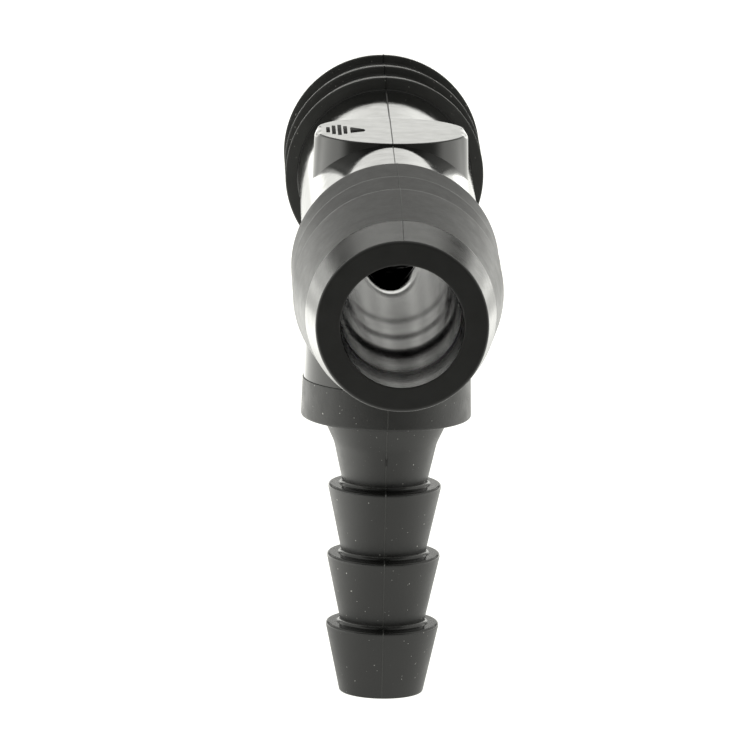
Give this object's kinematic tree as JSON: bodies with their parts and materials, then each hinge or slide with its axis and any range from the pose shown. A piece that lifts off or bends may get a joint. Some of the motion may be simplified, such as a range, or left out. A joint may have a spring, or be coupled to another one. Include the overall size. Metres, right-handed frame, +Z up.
{
  "type": "barbed hose tee",
  "caption": "Rigid plastic reducing tee for irrigation hose: a straight run with a barbed spigot at each end and a narrower barbed branch at right angles, joined by one bore.",
  "frame": {"origin": "where the axis of the run crosses the axis of the branch", "axes": "+Y along the run from its front mouth to its rear mouth, +Z up through the flat pad, -Z down the branch to its tip"},
  "size_m": [0.0148, 0.082, 0.0427],
  "materials": {
    "fitting_plastic": "satin"
  },
  "bodies": {
    "root": {"run_tube": "fitting_plastic", "boss_top": "fitting_plastic", "boss_bottom": "fitting_plastic", "branch_collar": "fitting_plastic", "branch_root": "fitting_plastic", "branch_barb_1": "fitting_plastic", "branch_barb_2": "fitting_plastic", "branch_barb_3": "fitting_plastic", "front_barb_1": "fitting_plastic", "front_barb_2": "fitting_plastic", "front_nose": "fitting_plastic", "rear_barb_1": "fitting_plastic", "rear_barb_2": "fitting_plastic", "rear_nose": "fitting_plastic"}
  },
  "joints": []
}
